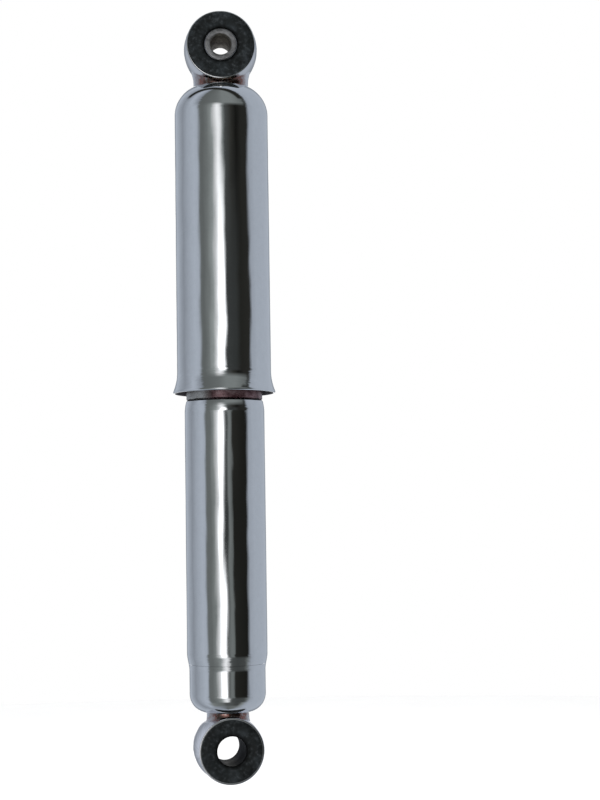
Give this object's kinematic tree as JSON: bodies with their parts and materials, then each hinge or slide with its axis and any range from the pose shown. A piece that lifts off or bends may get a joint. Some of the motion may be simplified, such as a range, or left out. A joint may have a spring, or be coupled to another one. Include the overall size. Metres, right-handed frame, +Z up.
{
  "type": "rear shock absorber",
  "caption": "Chrome enclosed coil-over shock absorber with rubber-bushed eyes at both ends; the casing telescopes inside the flared upper cover.",
  "frame": {"origin": "centre of the upper eye's bolt hole, halfway along the bolt", "axes": "+Z up the damper's axis, from the lower eye to the upper; +Y along the upper eye's bolt, away from the side shown in front; +X to the right seen from the front"},
  "size_m": [0.0498, 0.0498, 0.3743],
  "materials": {
    "chrome_plate": "bright polished chrome plate",
    "bush_rubber": "matte black moulded rubber",
    "machined_steel": "dull turned steel",
    "spring_steel": "dark oil-quenched steel",
    "guide_bronze": "dark red-brown bearing bronze",
    "nylon": "natural nylon",
    "seal_rubber": "oil seal rubber",
    "cast_alloy": "cast and turned alloy"
  },
  "bodies": {
    "mount_sleeve": {"upper_bush_sleeve": "machined_steel"},
    "upper_assembly": {"upper_eye_ring": "chrome_plate", "upper_bush_rubber": "bush_rubber", "upper_eye_boss": "chrome_plate", "upper_cover": "chrome_plate", "piston_rod": "chrome_plate", "rod_lock_nut": "machined_steel", "bump_stop_washer": "machined_steel", "bump_stop": "bush_rubber", "rebound_stop": "nylon", "piston_shims": "spring_steel", "piston": "cast_alloy", "piston_ring": "nylon", "piston_nut": "machined_steel"},
    "spring_perch": {"thrust_washer": "nylon", "upper_spring_seat": "machined_steel", "coil_spring": "spring_steel"},
    "lower_assembly": {"lower_casing": "chrome_plate", "guide_ring": "guide_bronze", "casing_base": "chrome_plate", "lower_spring_seat": "machined_steel", "damper_tube": "machined_steel", "gland_nut": "machined_steel", "rod_wiper": "seal_rubber", "rod_seal": "seal_rubber", "rod_guide": "guide_bronze", "foot_valve": "cast_alloy", "lower_eye_boss": "chrome_plate", "lower_eye_ring": "chrome_plate", "lower_bush_rubber": "bush_rubber"}
  },
  "joints": [
    {"name": "bush_twist", "type": "hinge", "parent": "mount_sleeve", "child": "upper_assembly", "pos_m": [0, 0, 0], "axis": [0, 1, 0], "range_deg": [-12, 12], "stiffness_Nm_per_rad": 19},
    {"name": "swivel", "type": "hinge", "parent": "upper_assembly", "child": "spring_perch", "pos_m": [0, 0, -0.024], "axis": [0, 0, 1], "continuous": true},
    {"name": "compression", "type": "slide", "parent": "spring_perch", "child": "lower_assembly", "axis": [0, 0, 1], "range_m": [0, 0.07], "stiffness_N_per_m": 16000, "springref_m": -0.012, "deforming": ["coil_spring"]}
  ]
}
